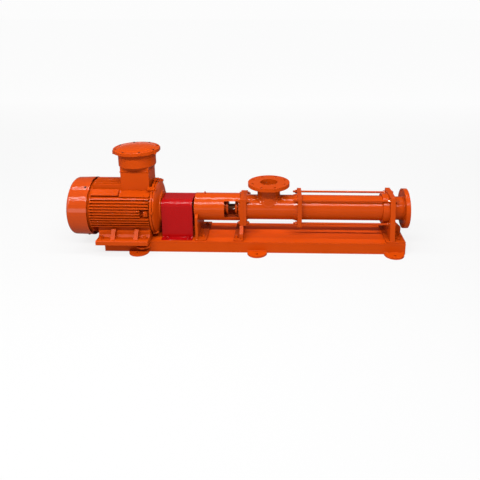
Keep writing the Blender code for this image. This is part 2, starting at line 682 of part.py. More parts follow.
def legged_plate(half_w, top, low, leg_half_w):
    """Square plate whose lower part widens into a leg."""
    foot_z = BASE_H + GAP
    knee = AXIS_Z + low
    return [
        (leg_half_w, foot_z), (leg_half_w, knee - 0.040), (half_w, knee), (half_w, AXIS_Z + top),
        (-half_w, AXIS_Z + top), (-half_w, knee), (-leg_half_w, knee - 0.040), (-leg_half_w, foot_z),
    ]


def build_lantern_end():
    """Plate that closes the lantern and stands on the base, and the gland on the shaft before it."""
    foot_z = BASE_H + GAP
    outline = legged_plate(LANTERN_PLATE_HALF, LANTERN_PLATE_TOP, LANTERN_PLATE_LOW, LANTERN_LEG_HALF_W)
    plate = add_object("lantern_plate",
                       prism("lantern_plate", outline, LANTERN_PLATE_X0, LANTERN_PLATE_X1),
                       paint("lantern_plate"))
    foot = box("lantern_foot", (LANTERN_FOOT_X0, -FOOT_PLATE_HALF_W, foot_z),
               (LANTERN_PLATE_X1, FOOT_PLATE_HALF_W, foot_z + FOOT_PLATE_T))
    combine(plate, foot, "UNION")
    bore = PUMP_SHAFT_R + 0.0004
    combine(plate, rod("lantern_bore", LANTERN_PLATE_X0 - 0.01, LANTERN_PLATE_X1 + 0.01, bore,
                       steps=INNER_ROUND))
    gland_x1 = LANTERN_PLATE_X0 - GAP
    gland = [
        (GLAND_X0, bore), (GLAND_X0, GLAND_R), (GLAND_FLANGE_X1, GLAND_R), (GLAND_FLANGE_X1, 0.027),
        (gland_x1, 0.027), (gland_x1, bore),
    ]
    add_object("gland_follower", turned("gland_follower", gland, closed=True, steps=INNER_ROUND),
               paint("gland_follower"))


def build_casing():
    """Suction casing: square flange, barrel, flared end with the rod plate, and the inlet neck."""
    x1 = CASING_X0 + CASING_FLANGE_T
    half = LANTERN_PLATE_HALF
    flange = box("suction_casing", (CASING_X0, -half, AXIS_Z + LANTERN_PLATE_LOW),
                 (x1, half, AXIS_Z + LANTERN_PLATE_TOP))
    casing = add_object("suction_casing", flange, paint("suction_casing"))
    barrel = [(x1 - 0.004, 0.0), (x1 - 0.004, CASING_R), (FLARE_X0, CASING_R), (FLARE_X0 + 0.016, 0.081),
              (CASING_PLATE_X0 + 0.002, FLARE_R), (CASING_PLATE_X0 + 0.002, 0.0)]
    combine(casing, turned("casing_barrel", barrel), "UNION")
    plate = box("casing_plate",
                (CASING_PLATE_X0, -CASING_PLATE_HALF_W, AXIS_Z - CASING_PLATE_HALF_H),
                (CASING_X1, CASING_PLATE_HALF_W, AXIS_Z + CASING_PLATE_HALF_H))
    combine(casing, plate, "UNION")
    at_inlet = (INLET_X, 0.0, AXIS_Z)
    neck_top = INLET_TOP - INLET_FLANGE_T - GAP
    neck = [(0.0, 0.0), (0.0, INLET_NECK_R), (neck_top, INLET_NECK_R), (neck_top, 0.0)]
    combine(casing, turned("inlet_neck", neck, at_inlet, "Z"), "UNION")
    hollow = rod("casing_hollow", CASING_X0 - 0.01, CASING_X1 + 0.01, CASING_R - CASING_WALL)
    combine(casing, hollow)
    bore = [(0.0, 0.0), (0.0, INLET_BORE_R), (neck_top + 0.01, INLET_BORE_R), (neck_top + 0.01, 0.0)]
    combine(casing, turned("inlet_bore", bore, at_inlet, "Z", steps=40))
    combine(casing, tie_rod_holes("casing_rod_holes", CASING_PLATE_X0 - 0.03, CASING_X1 + 0.01))
    flange_profile = [
        (INLET_TOP - INLET_FLANGE_T, INLET_BORE_R), (INLET_TOP - INLET_FLANGE_T, INLET_FLANGE_R),
        (INLET_TOP, INLET_FLANGE_R), (INLET_TOP, INLET_BORE_R),
    ]
    inlet = add_object("inlet_flange", turned("inlet_flange", flange_profile, at_inlet, "Z", closed=True),
                       paint("inlet_flange"))
    combine(inlet, bolt_holes_z("inlet_bolt_holes", INLET_X, INLET_BOLT_CIRCLE_R, INLET_HOLE_R,
                                FLANGE_HOLE_COUNT, AXIS_Z + INLET_TOP - 0.04, AXIS_Z + INLET_TOP + 0.01))


def helix_rings(x0, x1, section):
    """Stations along X with the outline that section(angle) gives at each."""
    pitch_step = ROTOR_PITCH / HELIX_STEPS_PER_PITCH
    first = round((STATOR_X1 - x1) / pitch_step)
    last = round((STATOR_X1 - x0) / pitch_step)
    rings = []
    for step in range(last, first - 1, -1):
        x = STATOR_X1 - pitch_step * step
        angle = math.tau * (STATOR_X1 - x) / ROTOR_PITCH
        rings.append([(x, y, z) for y, z in section(angle)])
    return rings


def skin(shape, rings):
    """Quads between neighbouring rings of points; returns the rings as vertices."""
    rows = [[shape.verts.new(point) for point in row] for row in rings]
    for low, high in zip(rows, rows[1:]):
        for index in range(len(low)):
            following = (index + 1) % len(low)
            shape.faces.new((low[index], low[following], high[following], high[index]))
    return rows


def rotor_section(angle, count=16):
    """The rotor's round section: its centre circles the rotor axis, which lies off the stator's."""
    centre_y = ROTOR_OFFSET + ROTOR_OFFSET * math.cos(angle)
    centre_z = AXIS_Z + ROTOR_OFFSET * math.sin(angle)
    turns = [math.tau * index / count for index in range(count)]
    return [(centre_y + ROTOR_R * math.cos(t), centre_z + ROTOR_R * math.sin(t)) for t in turns]


def cavity_section(angle, count=16):
    """The stator's section: two half rounds joined by straight sides, turned half as fast."""
    radius = ROTOR_R + STATOR_CLEARANCE
    direction = angle / 2.0
    points = []
    for index in range(count):
        turn = math.tau * (index + 0.5) / count
        shift = 2.0 * ROTOR_OFFSET * (1.0 if math.cos(turn) > 0.0 else -1.0)
        along = shift + radius * math.cos(turn)
        across = radius * math.sin(turn)
        points.append((along * math.cos(direction) - across * math.sin(direction),
                       AXIS_Z + along * math.sin(direction) + across * math.cos(direction)))
    return points


def build_stator():
    """Stator tube with its end collar, rubber lining, rotor and the four tie rods."""
    inner = STATOR_R - STATOR_WALL
    profile = [
        (STATOR_X0, inner), (STATOR_X0, STATOR_R), (COLLAR_X0, STATOR_R), (COLLAR_X0, COLLAR_R),
        (STATOR_X1, COLLAR_R), (STATOR_X1, inner),
    ]
    add_object("stator_tube", turned("stator_tube", profile, closed=True), paint("stator_tube"))

    lining_x0, lining_x1 = STATOR_X1 - LINING_PITCHES * ROTOR_PITCH, STATOR_X1
    shape = bmesh.new()
    rings = helix_rings(lining_x0, lining_x1, cavity_section)
    rows = skin(shape, rings)
    count = len(rows[0])
    outer_r = inner - GAP
    for row, x in ((rows[0], lining_x0), (rows[-1], lining_x1)):
        centre_angle = math.tau * (STATOR_X1 - x) / ROTOR_PITCH / 2.0
        outer = []
        for index in range(count):
            turn = math.tau * (index + 0.5) / count + centre_angle
            outer.append(shape.verts.new((x, outer_r * math.cos(turn), AXIS_Z + outer_r * math.sin(turn))))
        for index in range(count):
            following = (index + 1) % count
            shape.faces.new((row[index], row[following], outer[following], outer[index]))
        if row is rows[0]:
            first_outer = outer
    twist = round(((lining_x1 - lining_x0) / ROTOR_PITCH / 2.0 * count)) % count
    for index in range(count):
        following = (index + 1) % count
        shape.faces.new((first_outer[index], first_outer[following],
                         outer[(following + twist) % count], outer[(index + twist) % count]))
    lining = finish_mesh("stator_lining", shape)
    add_object("stator_lining", lining, material("stator_lining_rubber", RUBBER, 0.7))

    shape = bmesh.new()
    rows = skin(shape, helix_rings(lining_x0 - 0.040, lining_x1 - 0.012, rotor_section))
    shape.faces.new(rows[0])
    shape.faces.new(rows[-1])
    add_object("rotor", finish_mesh("rotor", shape), material("rotor_steel", STEEL, 0.2, 1.0), 60.0)

    for height, z in (("upper", TIE_ROD_Z), ("lower", -TIE_ROD_Z)):
        for side in ("front", "back"):
            name = "tie_rod_" + height + "_" + side
            bar = rod(name, TIE_ROD_X0, TIE_ROD_X1, TIE_ROD_R, mirrored(side) * TIE_ROD_Y, AXIS_Z + z, 12)
            add_object(name, bar, paint(name))


def build_discharge():
    """End plate with its foot, and the discharge flange on its neck."""
    foot_z = BASE_H + GAP
    outline = [(-END_PLATE_LEG_HALF_W, foot_z), (END_PLATE_LEG_HALF_W, foot_z),
               (END_PLATE_HALF_W, AXIS_Z + END_PLATE_TOP), (-END_PLATE_HALF_W, AXIS_Z + END_PLATE_TOP)]
    plate = add_object("end_support_plate",
                       prism("end_support_plate", outline, END_PLATE_X0, END_PLATE_X1),
                       paint("end_support_plate"))
    foot = box("end_foot", (END_FOOT_X0, -END_FOOT_HALF_W, foot_z),
               (END_FOOT_X1, END_FOOT_HALF_W, foot_z + FOOT_PLATE_T))
    combine(plate, foot, "UNION")
    rib = [(END_PLATE_X1 - 0.002, foot_z + 0.005), (END_RIB_X1, foot_z + 0.005), (END_RIB_X1, AXIS_Z - 0.1235),
           (END_RIB_X1 - 0.024, AXIS_Z - 0.100), (END_PLATE_X1 - 0.002, AXIS_Z - 0.100)]
    combine(plate, prism("end_rib", rib, -END_RIB_T / 2, END_RIB_T / 2, "Y"), "UNION")
    combine(plate, rod("end_plate_bore", END_PLATE_X0 - 0.01, END_PLATE_X1 + 0.01, OUTLET_BORE_R))
    combine(plate, tie_rod_holes("end_plate_rod_holes", END_PLATE_X0 - 0.01, END_PLATE_X1 + 0.01))
    profile = [
        (END_PLATE_X1 + GAP, OUTLET_BORE_R), (END_PLATE_X1 + GAP, OUTLET_NECK_R),
        (OUTLET_X0, OUTLET_NECK_R), (OUTLET_X0, OUTLET_FLANGE_R), (OUTLET_X1, OUTLET_FLANGE_R),
        (OUTLET_X1, OUTLET_BORE_R),
    ]
    flange = add_object("discharge_flange", turned("discharge_flange", profile, closed=True),
                        paint("discharge_flange"))
    combine(flange, bolt_holes_x("outlet_bolt_holes", OUTLET_BOLT_CIRCLE_R, OUTLET_HOLE_R,
                                 FLANGE_HOLE_COUNT, OUTLET_X0 - 0.01, OUTLET_X1 + 0.01))


def build_shaft_line():
    """Everything that turns: fan, both shafts, the coupling and the connecting rod."""
    fan_hub = [
        (-0.996, 0.0), (-0.996, MOTOR_SHAFT_R), (-0.986, MOTOR_SHAFT_R), (-0.986, 0.045),
        (-0.958, 0.045), (-0.958, MOTOR_SHAFT_R), (FRAME_X0 - 0.006, MOTOR_SHAFT_R),
        (FRAME_X0 - 0.006, 0.0),
    ]
    fan_piece = add_object("cooling_fan", turned("cooling_fan", fan_hub, steps=INNER_ROUND),
                           material("cooling_fan_plastic", BLACK_PLASTIC, 0.5))
    for index in range(7):
        blade = box("blade", (-0.984, 0.040, -0.002), (-0.934, 0.148, 0.002))
        turn = Matrix.Rotation(math.tau * index / 7, 4, "X")
        blade.transform(Matrix.Translation((0.0, 0.0, AXIS_Z)) @ turn)
        combine(fan_piece, blade, "UNION")
    steel_drive = material("motor_shaft_steel", STEEL, 0.3, 1.0)
    drive_stub = rod("motor_shaft", FRAME_X1 + 0.006, COUPLING_XM - 0.012, MOTOR_SHAFT_R, steps=INNER_ROUND)
    add_object("motor_shaft", drive_stub, steel_drive)
    half_gap = COUPLING_GAP / 2
    motor_half = [
        (COUPLING_X0, MOTOR_SHAFT_R + GAP), (COUPLING_X0, 0.038), (COUPLING_X0 + 0.028, 0.038),
        (COUPLING_X0 + 0.028, COUPLING_R), (COUPLING_XM - half_gap, COUPLING_R),
        (COUPLING_XM - half_gap, MOTOR_SHAFT_R + GAP),
    ]
    pump_half = [
        (COUPLING_XM + half_gap, BEARING_SHAFT_R + GAP), (COUPLING_XM + half_gap, COUPLING_R),
        (COUPLING_X1 - 0.028, COUPLING_R), (COUPLING_X1 - 0.028, 0.038), (COUPLING_X1, 0.038),
        (COUPLING_X1, BEARING_SHAFT_R + GAP),
    ]
    add_object("coupling_motor_half", turned("coupling_motor_half", motor_half, closed=True, steps=INNER_ROUND),
               material("coupling_motor_half_iron", STEEL, 0.5, 1.0))
    add_object("coupling_pump_half", turned("coupling_pump_half", pump_half, closed=True, steps=INNER_ROUND),
               material("coupling_pump_half_iron", STEEL, 0.5, 1.0))
    add_object("coupling_element",
               ring("coupling_element", COUPLING_XM - half_gap + GAP, COUPLING_XM + half_gap - GAP,
                    0.052, 0.028, INNER_ROUND),
               material("coupling_element_rubber", RUBBER, 0.7))
    shaft = [
        (COUPLING_XM + 0.012, 0.0), (COUPLING_XM + 0.012, BEARING_SHAFT_R), (-0.084, BEARING_SHAFT_R),
        (-0.084, PUMP_SHAFT_R), (0.102, PUMP_SHAFT_R), (0.102, 0.0),
    ]
    add_object("pump_shaft", turned("pump_shaft", shaft, steps=INNER_ROUND),
               material("pump_shaft_steel", STEEL, 0.3, 1.0))
    link = [
        (0.102 + GAP, 0.0), (0.102 + GAP, 0.034), (0.142, 0.034), (0.148, 0.018), (0.322, 0.018),
        (0.328, 0.034), (0.368, 0.034), (0.368, 0.0),
    ]
    add_object("connecting_rod", turned("connecting_rod", link, steps=INNER_ROUND),
               material("connecting_rod_steel", STEEL, 0.35, 1.0))


build_base()
build_lugs()
build_motor_frame()
build_motor_feet()
build_shields()
build_fan_cover()
build_terminal_box()
build_lifting_lug()
build_guard()
build_bearing_housing()
build_lantern_end()
build_casing()
build_stator()
build_discharge()
build_shaft_line()
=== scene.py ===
import math

import bmesh
import bpy
from mathutils import Matrix, Vector


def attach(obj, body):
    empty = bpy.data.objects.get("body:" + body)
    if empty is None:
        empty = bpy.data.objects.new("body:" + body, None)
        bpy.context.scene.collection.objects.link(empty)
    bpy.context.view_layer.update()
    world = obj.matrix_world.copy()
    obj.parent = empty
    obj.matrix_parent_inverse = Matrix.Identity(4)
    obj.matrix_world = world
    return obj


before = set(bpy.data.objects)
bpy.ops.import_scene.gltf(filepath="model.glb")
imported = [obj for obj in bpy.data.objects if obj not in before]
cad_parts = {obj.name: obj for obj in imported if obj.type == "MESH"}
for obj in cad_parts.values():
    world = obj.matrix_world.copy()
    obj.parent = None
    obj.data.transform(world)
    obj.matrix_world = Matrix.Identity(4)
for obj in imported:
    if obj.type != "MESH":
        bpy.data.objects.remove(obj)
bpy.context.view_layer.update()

# Studio
# A plain white floor that glows like a light table and a pale backdrop. Two long strip lamps give
# the pump its highlights, a soft ceiling light fills in, and the camera is 1.4 m up and 2.9 m in
# front of the shaft.
AXIS = 0.242
FLOOR_HALF = 90
CAMERA_TILT = 0.243
CAMERA_TURN = 0.026


def put(name, data):
    """Make an object of a mesh, lamp or camera and link it to the scene."""
    made = bpy.data.objects.new(name, data)
    bpy.context.scene.collection.objects.link(made)
    return made


def coordinate(tree, kind, axis):
    """One axis of a texture coordinate."""
    place = tree.nodes.new("ShaderNodeTexCoord")
    split = tree.nodes.new("ShaderNodeSeparateXYZ")
    tree.links.new(place.outputs[kind], split.inputs["Vector"])
    return split.outputs[axis]


def graded(tree, value, start, end, low, high):
    """A value that runs from low to high while the given one runs from start to end."""
    node = tree.nodes.new("ShaderNodeMapRange")
    for label, limit in (("From Min", start), ("From Max", end), ("To Min", low), ("To Max", high)):
        node.inputs[label].default_value = limit
    tree.links.new(value, node.inputs["Value"])
    return node.outputs["Result"]


floor_mesh = bpy.data.meshes.new("studio_floor")
floor_corners = [(x * FLOOR_HALF, y * FLOOR_HALF, 0) for x, y in ((-1, -1), (1, -1), (1, 1), (-1, 1))]
floor_mesh.from_pydata(floor_corners, [], [(0, 1, 2, 3)])
floor = put("studio_floor", floor_mesh)
floor_finish = bpy.data.materials.new("pale_floor")
floor_finish.use_nodes = True
floor_tree = floor_finish.node_tree
floor_shader = floor_tree.nodes["Principled BSDF"]
floor_shader.inputs["Base Color"].default_value = (0.09, 0.09, 0.09, 1.0)
floor_shader.inputs["Roughness"].default_value = 0.95
floor_shader.inputs["Specular IOR Level"].default_value = 0.0
floor_shader.inputs["Emission Color"].default_value = (1.0, 1.0, 1.0, 1.0)
glow = graded(floor_tree, coordinate(floor_tree, "Object", "Y"), -0.3, 5.0, 0.795, 0.925)
floor_tree.links.new(glow, floor_shader.inputs["Emission Strength"])
floor_mesh.materials.append(floor_finish)
floor.visible_glossy = False

world = bpy.data.worlds.new("studio_world")
bpy.context.scene.world = world
world.use_nodes = True
sky_tree = world.node_tree
height = coordinate(sky_tree, "Generated", "Z")
sky = sky_tree.nodes.new("ShaderNodeMath")
sky.operation = "MULTIPLY"
sky_tree.links.new(graded(sky_tree, height, 0.06, 0.16, 0.975, 0.11), sky.inputs[0])
sky_tree.links.new(graded(sky_tree, height, -0.10, -0.03, 0.15, 1.0), sky.inputs[1])
sky_tree.links.new(sky.outputs["Value"], sky_tree.nodes["Background"].inputs["Color"])

for light_name, at, aim, length, width, power in (
    ("front_strip", (-0.4, -2.55, 3.15), (-0.4, 0.0, 0.2), 5.2, 0.13, 235.0),
    ("top_strip", (-0.4, -0.1, 3.2), (-0.4, 0.0, 0.2), 5.2, 0.13, 80.0),
    ("left_box", (-3.4, -2.4, 2.0), (-0.6, 0.0, 0.2), 1.4, 1.4, 10.0),
):
    lamp = bpy.data.lights.new(light_name, "AREA")
    lamp.shape = "RECTANGLE"
    lamp.size = length
    lamp.size_y = width
    lamp.energy = power
    lamp_object = put(light_name, lamp)
    lamp_object.location = at
    lamp_object.rotation_euler = (Vector(aim) - Vector(at)).to_track_quat("-Z", "Y").to_euler()

ceiling = bpy.data.lights.new("ceiling", "SUN")
ceiling.energy = 1.05
ceiling.angle = math.radians(140)
ceiling_object = put("ceiling", ceiling)
ceiling_object.rotation_euler = (math.radians(12), 0.0, 0.0)
ceiling_object.visible_glossy = False

camera_data = bpy.data.cameras.new("camera")
camera_data.sensor_width = 36.0
camera_data.lens = 37.17
camera_data.shift_x = -0.0601
camera_data.shift_y = -0.2200
camera = put("camera", camera_data)
camera.location = (0.253, -2.886, AXIS + 1.180)
camera.rotation_euler = (math.pi / 2 - CAMERA_TILT, 0.0, CAMERA_TURN)
bpy.context.scene.camera = camera
bpy.context.scene.view_settings.view_transform = "Standard"

# Base
# Steel plate and channels, welded, primed and sprayed with machine enamel. The coat has a fine
# orange peel. On the top plate it is duller, and its colour holds painted light: it is lighter than
# the rails' and graded from darker at the front edge, where the lamps fall most, to lighter toward
# the back, in the pump's shade.
BASE_HALF = 0.140
BASE_TOP = 0.069
ORANGE = (0.39, 0.0415, 0.0015)
ORANGE_DARK = (0.37, 0.0385, 0.001)
# Each lug: its X, the top of its plate, and half the length of its weld.
LUGS = ((-0.606, 0.012, 0.0590), (0.111, 0.012, 0.0590), (0.935, 0.012, 0.0590), (-0.580, 0.047, 0.046))
LUG_WELD_STEPS = 8


def noise(tree, vector, scale, detail, rough=0.5):
    """Noise at the given coordinates."""
    node = tree.nodes.new("ShaderNodeTexNoise")
    node.inputs["Scale"].default_value = scale
    node.inputs["Detail"].default_value = detail
    node.inputs["Roughness"].default_value = rough
    tree.links.new(vector, node.inputs["Vector"])
    return node.outputs["Fac"]


def two_tones(tree, value, low, dark, high, light):
    """A colour between the dark and the light tone of a finish."""
    node = tree.nodes.new("ShaderNodeValToRGB")
    first, last = node.color_ramp.elements
    first.position, last.position = low, high
    first.color, last.color = (*dark, 1.0), (*light, 1.0)
    tree.links.new(value, node.inputs["Fac"])
    return node.outputs["Color"]


def relief(tree, value, strength, distance):
    """A fine bump, linked to the shader's normal."""
    node = tree.nodes.new("ShaderNodeBump")
    node.inputs["Strength"].default_value = strength
    node.inputs["Distance"].default_value = distance
    tree.links.new(value, node.inputs["Height"])
    tree.links.new(node.outputs["Normal"], tree.nodes["Principled BSDF"].inputs["Normal"])
    return node


def sprayed_enamel(name, light, dark, gloss, peel, edge, shine):
    """Machine enamel: two close tones, orange peel, and edges that the thick coat rounds off.

    gloss is the roughness, peel the strength of the orange peel, edge the radius of the edges and
    shine the level of the clear highlights.
    """
    finish = bpy.data.materials.new(name)
    finish.use_nodes = True
    tree = finish.node_tree
    shader = tree.nodes["Principled BSDF"]
    place = tree.nodes.new("ShaderNodeTexCoord").outputs["Object"]
    tone = two_tones(tree, noise(tree, place, 7.0, 4.0, 0.6), 0.30, dark, 0.62, light)
    tree.links.new(tone, shader.inputs["Base Color"])
    sheen = graded(tree, noise(tree, place, 24.0, 5.0), 0.3, 0.7, gloss - 0.01, gloss + 0.015)
    tree.links.new(sheen, shader.inputs["Roughness"])
    bump = relief(tree, noise(tree, place, 420.0, 2.0), peel, 0.001)
    if edge:
        rounded = tree.nodes.new("ShaderNodeBevel")
        rounded.samples = 4
        rounded.inputs["Radius"].default_value = edge
        tree.links.new(rounded.outputs["Normal"], bump.inputs["Normal"])
    shader.inputs["Specular IOR Level"].default_value = shine
    return finish


def coat(finish, *names):
    """Give CAD pieces their finish."""
    for name in names:
        bpy.data.objects[name].material_slots[0].material = finish


def start_tree(name, sizes):
    """A node tree that takes a mesh, some sizes and a paint and gives back a mesh."""
    tree = bpy.data.node_groups.new(name, "GeometryNodeTree")
    tree.interface.new_socket("Geometry", in_out="OUTPUT", socket_type="NodeSocketGeometry")
    tree.interface.new_socket("Geometry", in_out="INPUT", socket_type="NodeSocketGeometry")
    for label in sizes:
        tree.interface.new_socket(label, in_out="INPUT", socket_type="NodeSocketFloat")
    tree.interface.new_socket("Paint", in_out="INPUT", socket_type="NodeSocketMaterial")
    return tree, tree.nodes.new("NodeGroupInput")


def end_tree(tree, given, shape):
    """Realize the instances of the shape, give it its paint and link it to the tree's output."""
    real = tree.nodes.new("GeometryNodeRealizeInstances")
    tree.links.new(shape, real.inputs["Geometry"])
    painted = tree.nodes.new("GeometryNodeSetMaterial")
    tree.links.new(real.outputs["Geometry"], painted.inputs["Geometry"])
    tree.links.new(given.outputs["Paint"], painted.inputs["Material"])
    result = tree.nodes.new("NodeGroupOutput")
    tree.links.new(painted.outputs["Geometry"], result.inputs["Geometry"])
    return tree


def weld_tree():
    """Bead: sweep a round section along the seam's line."""
    tree, given = start_tree("weld_bead", ("Bead radius",))
    nodes, links = tree.nodes, tree.links
    line = nodes.new("GeometryNodeMeshToCurve")
    links.new(given.outputs["Geometry"], line.inputs["Mesh"])
    section = nodes.new("GeometryNodeCurvePrimitiveCircle")
    section.inputs["Resolution"].default_value = 8
    links.new(given.outputs["Bead radius"], section.inputs["Radius"])
    sweep = nodes.new("GeometryNodeCurveToMesh")
    links.new(line.outputs["Curve"], sweep.inputs["Curve"])
    links.new(section.outputs["Curve"], sweep.inputs["Profile Curve"])
    sweep.inputs["Fill Caps"].default_value = True
    return end_tree(tree, given, sweep.outputs["Mesh"])


def grow(name, mesh, tree, values, finish, body, smooth):
    """Run a node tree on a mesh, keep the result as a plain mesh and let it ride on its body."""
    seed = put(name + "_stations", mesh)
    step = seed.modifiers.new("grow", "NODES")
    step.node_group = tree
    sockets = {item.name: item.identifier for item in tree.interface.items_tree if item.in_out == "INPUT"}
    for label, value in values.items():
        step[sockets[label]] = value
    step[sockets["Paint"]] = finish
    graph = bpy.context.evaluated_depsgraph_get()
    made = bpy.data.meshes.new_from_object(seed.evaluated_get(graph), depsgraph=graph)
    bpy.data.objects.remove(seed)
    made.name = name
    piece = put(name, made)
    made.shade_smooth()
    made.set_sharp_from_angle(angle=math.radians(smooth))
    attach(piece, body)


WELD = weld_tree()


def weld(name, seams, radius, finish):
    """Weld beads along lines of points; a seam whose last point is its first is a closed ring."""
    points, edges = [], []
    for seam in seams:
        closed = (Vector(seam[0]) - Vector(seam[-1])).length < 1e-6
        line = seam[:-1] if closed else seam
        first = len(points)
        points += [tuple(point) for point in line]
        edges += [(first + index, first + index + 1) for index in range(len(line) - 1)]
        if closed:
            edges.append((first + len(line) - 1, first))
    mesh = bpy.data.meshes.new(name + "_line")
    mesh.from_pydata(points, edges, [])
    grow(name, mesh, WELD, {"Bead radius": radius}, finish, "pump_set", 60)


base_enamel = sprayed_enamel("base_enamel", (0.42, 0.044, 0.0015), (0.40, 0.0415, 0.001), 0.25, 0.01,
                             0.0015, 0.06)
# The top plate's enamel is a lighter copy of the base enamel: painted fill light for the shade the pump
# casts on the plate.
plate_enamel = sprayed_enamel("plate_enamel", (0.60, 0.062, 0.002), (0.56, 0.056, 0.0015), 0.30, 0.01,
                              0.0015, 0.06)
coat(base_enamel, "base_front_rail", "base_back_rail", "base_left_end", "base_right_end",
     "base_cross_rib_1", "base_cross_rib_2")
coat(plate_enamel, "base_top_plate")
# Painted light on the top plate: its colour is scaled from 0.70 at the front edge, where the lamps fall
# most, to 1.36 toward the back, in the shade of the pump.
plate_tree = plate_enamel.node_tree
plate_colour = plate_tree.nodes["Principled BSDF"].inputs["Base Color"]
painted_fill = plate_tree.nodes.new("ShaderNodeVectorMath")
painted_fill.operation = "SCALE"
painted_fill_grade = graded(plate_tree, coordinate(plate_tree, "Object", "Y"), -0.14, 0.08, 0.70, 1.36)
plate_tree.links.new(plate_colour.links[0].from_socket, painted_fill.inputs[0])
plate_tree.links.new(painted_fill_grade, painted_fill.inputs["Scale"])
plate_tree.links.new(painted_fill.outputs["Vector"], plate_colour)

lug_seams = []
for side in (-1, 1):
    for x, plate_top, half in LUGS:
        lug_seams.append([(x + half * step / LUG_WELD_STEPS, side * (BASE_HALF + 0.001), plate_top + 0.001)
                          for step in range(-LUG_WELD_STEPS, LUG_WELD_STEPS + 1)])
weld("lug_welds", lug_seams, 0.003, base_enamel)
for side in ("front", "back"):
    coat(base_enamel, "anchor_lug_" + side + "_1", "anchor_lug_" + side + "_2",
         "anchor_lug_" + side + "_3", "jacking_lug_" + side)

# Motor frame and feet
# Grey iron castings, filled and sprayed. The fins are cast with the frame. Four hexagon screws
# hold the feet, whose coat is duller, and an earth screw stands on its own boss near the drive end.
FOOT_SCREW = (0.024, 0.011, (0.0155, 0.003), (0.008, 0.006))
FOOT_SCREW_X = (-0.830, -0.565)
FOOT_SCREW_Y = 0.166
FOOT_TOP = BASE_TOP + 0.0273
EARTH_SCREW = (0.010, 0.006, (0.0075, 0.0015), (0.003, 0.003))
EARTH_X, EARTH_Y, EARTH_Z = -0.552, 0.1681, AXIS + 0.011

cast_enamel = sprayed_enamel("cast_enamel", ORANGE, ORANGE_DARK, 0.20, 0.01, 0.002, 0.08)
foot_enamel = sprayed_enamel("foot_enamel", ORANGE, ORANGE_DARK, 0.34, 0.01, 0.002, 0.06)
coat(cast_enamel, "motor_frame")
coat(foot_enamel, "motor_foot_front", "motor_foot_back")


def fastener_tree():
    """Washer, hexagon and thread end, set on each station and turned by the station's turn."""
    tree, given = start_tree("hexagon_fastener", (
        "Across flats", "Head height", "Washer radius", "Washer thickness", "Thread radius",
        "Thread length"))
    nodes, links = tree.nodes, tree.links
    joined = nodes.new("GeometryNodeJoinGeometry")

    def calculate(operation, first, second):
        node = nodes.new("ShaderNodeMath")
        node.operation = operation
        for socket, value in zip(node.inputs, (first, second)):
            if isinstance(value, (int, float)):
                socket.default_value = value
            else:
                links.new(value, socket)
        return node.outputs[0]

    def stack(vertices, radius, depth, below):
        cylinder = nodes.new("GeometryNodeMeshCylinder")
        cylinder.inputs["Vertices"].default_value = vertices
        links.new(radius, cylinder.inputs["Radius"])
        links.new(depth, cylinder.inputs["Depth"])
        lifted = nodes.new("GeometryNodeTransform")
        middle = nodes.new("ShaderNodeCombineXYZ")
        links.new(calculate("ADD", below, calculate("MULTIPLY", depth, 0.5)), middle.inputs["Z"])
        links.new(middle.outputs["Vector"], lifted.inputs["Translation"])
        links.new(cylinder.outputs["Mesh"], lifted.inputs["Geometry"])
        links.new(lifted.outputs["Geometry"], joined.inputs["Geometry"])

    washer_top = given.outputs["Washer thickness"]
    head_top = calculate("ADD", washer_top, given.outputs["Head height"])
    corner = calculate("DIVIDE", given.outputs["Across flats"], math.sqrt(3.0))
    stack(20, given.outputs["Washer radius"], given.outputs["Washer thickness"], 0.0)
    stack(6, corner, given.outputs["Head height"], washer_top)
    stack(12, given.outputs["Thread radius"], given.outputs["Thread length"], head_top)
    turn = nodes.new("GeometryNodeInputNamedAttribute")
    turn.data_type = "FLOAT_VECTOR"
    turn.inputs["Name"].default_value = "turn"
    rotation = nodes.new("FunctionNodeEulerToRotation")
    links.new(turn.outputs["Attribute"], rotation.inputs["Euler"])
    placed = nodes.new("GeometryNodeInstanceOnPoints")
    links.new(given.outputs["Geometry"], placed.inputs["Points"])
    links.new(joined.outputs["Geometry"], placed.inputs["Instance"])
    links.new(rotation.outputs["Rotation"], placed.inputs["Rotation"])
    return end_tree(tree, given, placed.outputs["Instances"])


FASTENER = fastener_tree()


def fasteners(name, stations, size, finish):
    """Hexagon screws or nuts. A station is a seat point, its outward direction and a twist.

    size is the width across flats, the head height, the washer's radius and thickness, and the
    thread's radius and length past the hexagon.
    """
    flats, head, washer, thread = size
    mesh = bpy.data.meshes.new(name + "_stations")
    mesh.from_pydata([seat for seat, out, twist in stations], [], [])
    turns = mesh.attributes.new("turn", "FLOAT_VECTOR", "POINT")
    for index, (seat, out, twist) in enumerate(stations):
        facing = Vector(out).to_track_quat("Z", "Y").to_matrix() @ Matrix.Rotation(twist, 3, "Z")
        turns.data[index].vector = facing.to_euler()
    values = {
        "Across flats": flats, "Head height": head, "Washer radius": washer[0],
        "Washer thickness": washer[1], "Thread radius": thread[0], "Thread length": thread[1],
    }
    grow(name, mesh, FASTENER, values, finish, "pump_set", 25)


earth_seats = [((EARTH_X, side * EARTH_Y, EARTH_Z), (0, side, 0), 0.2) for side in (-1, 1)]
fasteners("earth_screws", earth_seats, EARTH_SCREW, cast_enamel)
foot_seats = [((x, side * FOOT_SCREW_Y, FOOT_TOP), (0, 0, 1), 0.3 * x)
              for side in (-1, 1) for x in FOOT_SCREW_X]
fasteners("foot_screws", foot_seats, FOOT_SCREW, cast_enamel)

